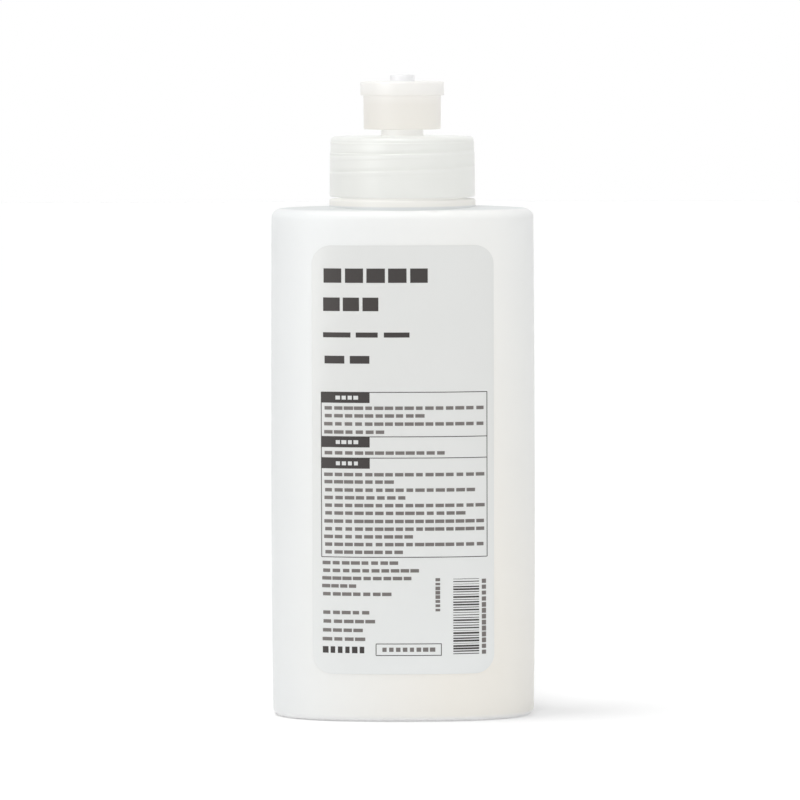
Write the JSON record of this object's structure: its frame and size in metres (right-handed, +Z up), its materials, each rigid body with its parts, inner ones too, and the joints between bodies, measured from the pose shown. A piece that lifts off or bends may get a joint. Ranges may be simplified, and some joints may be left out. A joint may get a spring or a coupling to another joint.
{
  "type": "dish soap bottle",
  "caption": "Blown plastic bottle with an oval-cornered plan, a flat shoulder, a screw cap and a pull-up spout that seals on a fixed pin.",
  "frame": {"origin": "on the table, under the middle of the bottle's base", "axes": "+Z up along the neck, +X to the right as the front is seen, -Y out of the front that carries the film"},
  "size_m": [0.0688, 0.0418, 0.1672],
  "materials": {
    "blown_polyethylene": "milky translucent, satin",
    "moulded_polypropylene": "milky translucent, satin gloss",
    "moulded_polyethylene": "milky, satin gloss",
    "liner_foam": "matt foam",
    "label_film": "frosted grey film, satin"
  },
  "bodies": {
    "bottle": {"bottle": "blown_polyethylene", "front_label": "label_film"},
    "seal": {"sealing_liner": "liner_foam"},
    "cap": {"screw_cap": "moulded_polypropylene"},
    "spout": {"nozzle": "moulded_polyethylene"}
  },
  "joints": [
    {"name": "cap_lift", "type": "slide", "parent": "bottle", "child": "seal", "axis": [0, 0, 1], "range_m": [0, 0.0158]},
    {"name": "cap_turn", "type": "hinge", "parent": "seal", "child": "cap", "pos_m": [0, 0, 0.1425], "axis": [0, 0, 1], "range_deg": [0, 1350]},
    {"name": "nozzle_pull", "type": "slide", "parent": "cap", "child": "spout", "axis": [0, 0, 1], "range_m": [0, 0.0045]}
  ],
  "couplings": [
    {"joint": "cap_lift", "follows": "cap_turn", "m_per_rad": 0.00066845}
  ]
}
